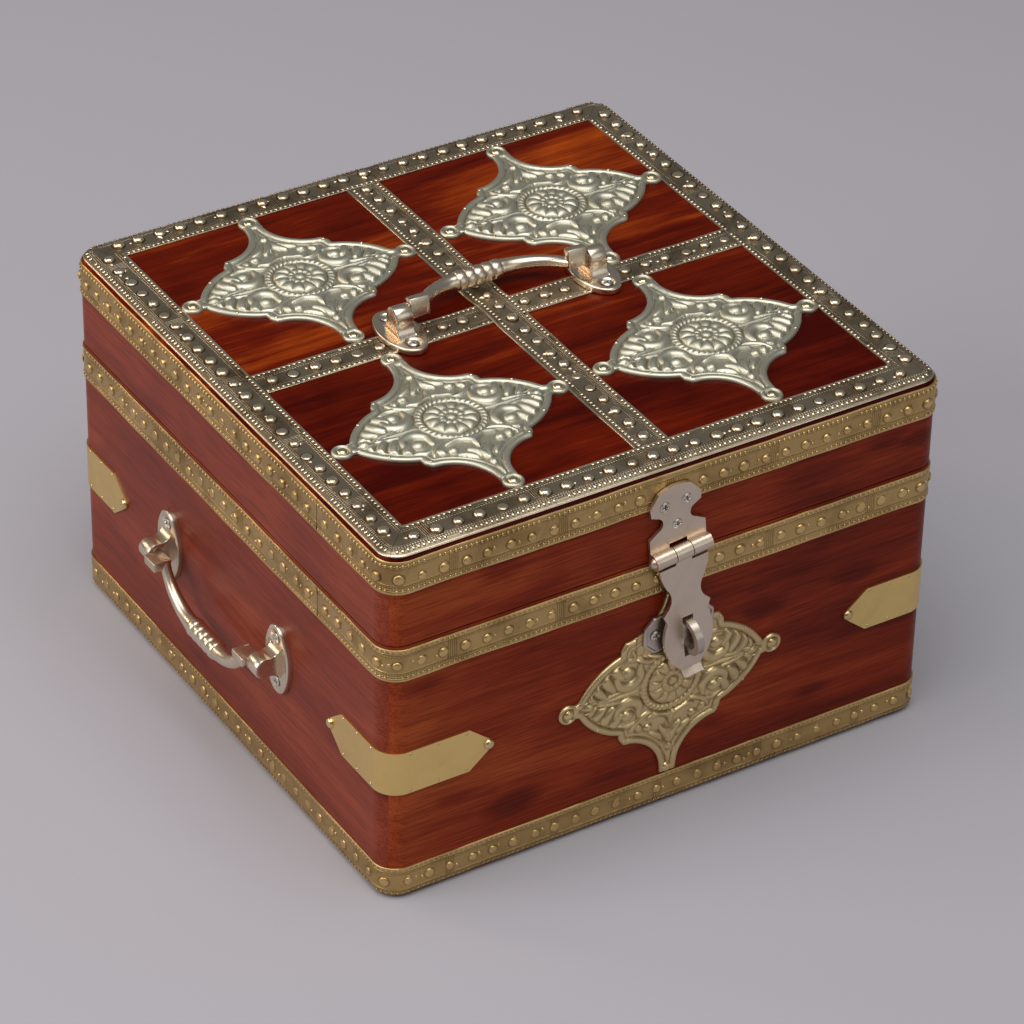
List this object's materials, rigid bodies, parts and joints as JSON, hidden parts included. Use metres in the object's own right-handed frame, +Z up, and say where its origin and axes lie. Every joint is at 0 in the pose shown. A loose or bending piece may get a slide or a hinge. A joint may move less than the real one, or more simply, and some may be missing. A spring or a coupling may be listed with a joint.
{
  "type": "chest",
  "caption": "Square wooden storage chest with a hinged lid, bound in embossed brass strips, with repousse brass ornaments, swinging carry handles and a front hasp.",
  "frame": {"origin": "centre of the chest's underside, on the floor, midway between the outer faces of its strips", "axes": "+X to the right along the front face, -Y out of the front face with the hasp, +Z up"},
  "size_m": [0.3344, 0.3218, 0.2112],
  "materials": {
    "side_wood": "polished red-brown hardwood",
    "lid_wood": "polished red-brown hardwood",
    "floor_wood": "plain sanded wood",
    "strip_brass": "embossed sheet brass, lightly aged",
    "plate_brass": "brushed sheet brass",
    "ornament_brass": "pale repousse brass",
    "front_ornament_brass": "yellow repousse brass",
    "nail_brass": "polished brass",
    "handle_metal": "pale cast brass, satin",
    "hasp_metal": "pale plated brass, satin",
    "staple_metal": "worn plated steel",
    "screw_metal": "plated",
    "hinge_metal": "plated"
  },
  "bodies": {
    "carcass": {"back_board": "side_wood", "back_hinge_left_lower_leaf": "hinge_metal", "back_hinge_pins": "hinge_metal", "back_hinge_right_lower_leaf": "hinge_metal", "bottom_band": "strip_brass", "corner_plate_back_left": "plate_brass", "corner_plate_back_right": "plate_brass", "corner_plate_front_left": "plate_brass", "corner_plate_front_right": "plate_brass", "corner_plate_nails": "nail_brass", "corner_plate_pins": "nail_brass", "floor_panel": "floor_wood", "front_board": "side_wood", "front_ornament": "front_ornament_brass", "front_ornament_nails": "nail_brass", "front_ornament_pins": "nail_brass", "left_board": "side_wood", "left_handle_pad_back": "handle_metal", "left_handle_pad_front": "handle_metal", "lower_hinge_screws": "screw_metal", "mid_band": "strip_brass", "right_board": "side_wood", "right_handle_pad_back": "handle_metal", "right_handle_pad_front": "handle_metal", "side_handle_screws": "screw_metal", "staple_loop": "staple_metal", "staple_plate": "staple_metal", "staple_screws": "screw_metal"},
    "lid": {"back_hinge_left_upper_leaf": "hinge_metal", "back_hinge_right_upper_leaf": "hinge_metal", "cross_strip_front_to_back": "strip_brass", "cross_strip_side_to_side": "strip_brass", "hasp_pin": "hasp_metal", "hasp_screws": "screw_metal", "hasp_upper_plate": "hasp_metal", "lid_back_rail": "lid_wood", "lid_front_rail": "lid_wood", "lid_left_rail": "lid_wood", "lid_right_rail": "lid_wood", "lid_side_band": "strip_brass", "lid_top_board": "lid_wood", "top_handle_pad_left": "handle_metal", "top_handle_pad_right": "handle_metal", "top_handle_screws": "screw_metal", "top_ornament_back_left": "ornament_brass", "top_ornament_back_right": "ornament_brass", "top_ornament_front_left": "ornament_brass", "top_ornament_front_right": "ornament_brass", "top_ornament_nails": "nail_brass", "top_ornament_pins": "nail_brass", "top_trim_back": "strip_brass", "top_trim_front": "strip_brass", "top_trim_left": "strip_brass", "top_trim_right": "strip_brass", "upper_hinge_screws": "screw_metal"},
    "hasp": {"hasp_leaf": "hasp_metal"},
    "top_handle": {"top_handle_bail": "handle_metal"},
    "left_handle": {"left_handle_bail": "handle_metal"},
    "right_handle": {"right_handle_bail": "handle_metal"}
  },
  "joints": [
    {"name": "lid_hinge", "type": "hinge", "parent": "carcass", "child": "lid", "pos_m": [0, 0.1528, 0.1426], "axis": [-1, 0, 0], "range_deg": [0, 180]},
    {"name": "hasp_hinge", "type": "hinge", "parent": "lid", "child": "hasp", "pos_m": [0.0024, -0.154, 0.1466], "axis": [-0.9945, 0, -0.1045], "range_deg": [0, 175]},
    {"name": "top_handle_swing", "type": "hinge", "parent": "lid", "child": "top_handle", "pos_m": [0, 0.0035, 0.2038], "axis": [1, 0, 0], "range_deg": [0, 206]},
    {"name": "left_handle_swing", "type": "hinge", "parent": "carcass", "child": "left_handle", "pos_m": [-0.1602, 0, 0.0785], "axis": [0, 1, 0], "range_deg": [-14, 194]},
    {"name": "right_handle_swing", "type": "hinge", "parent": "carcass", "child": "right_handle", "pos_m": [0.1602, 0, 0.0785], "axis": [0, -1, 0], "range_deg": [-14, 194]}
  ]
}
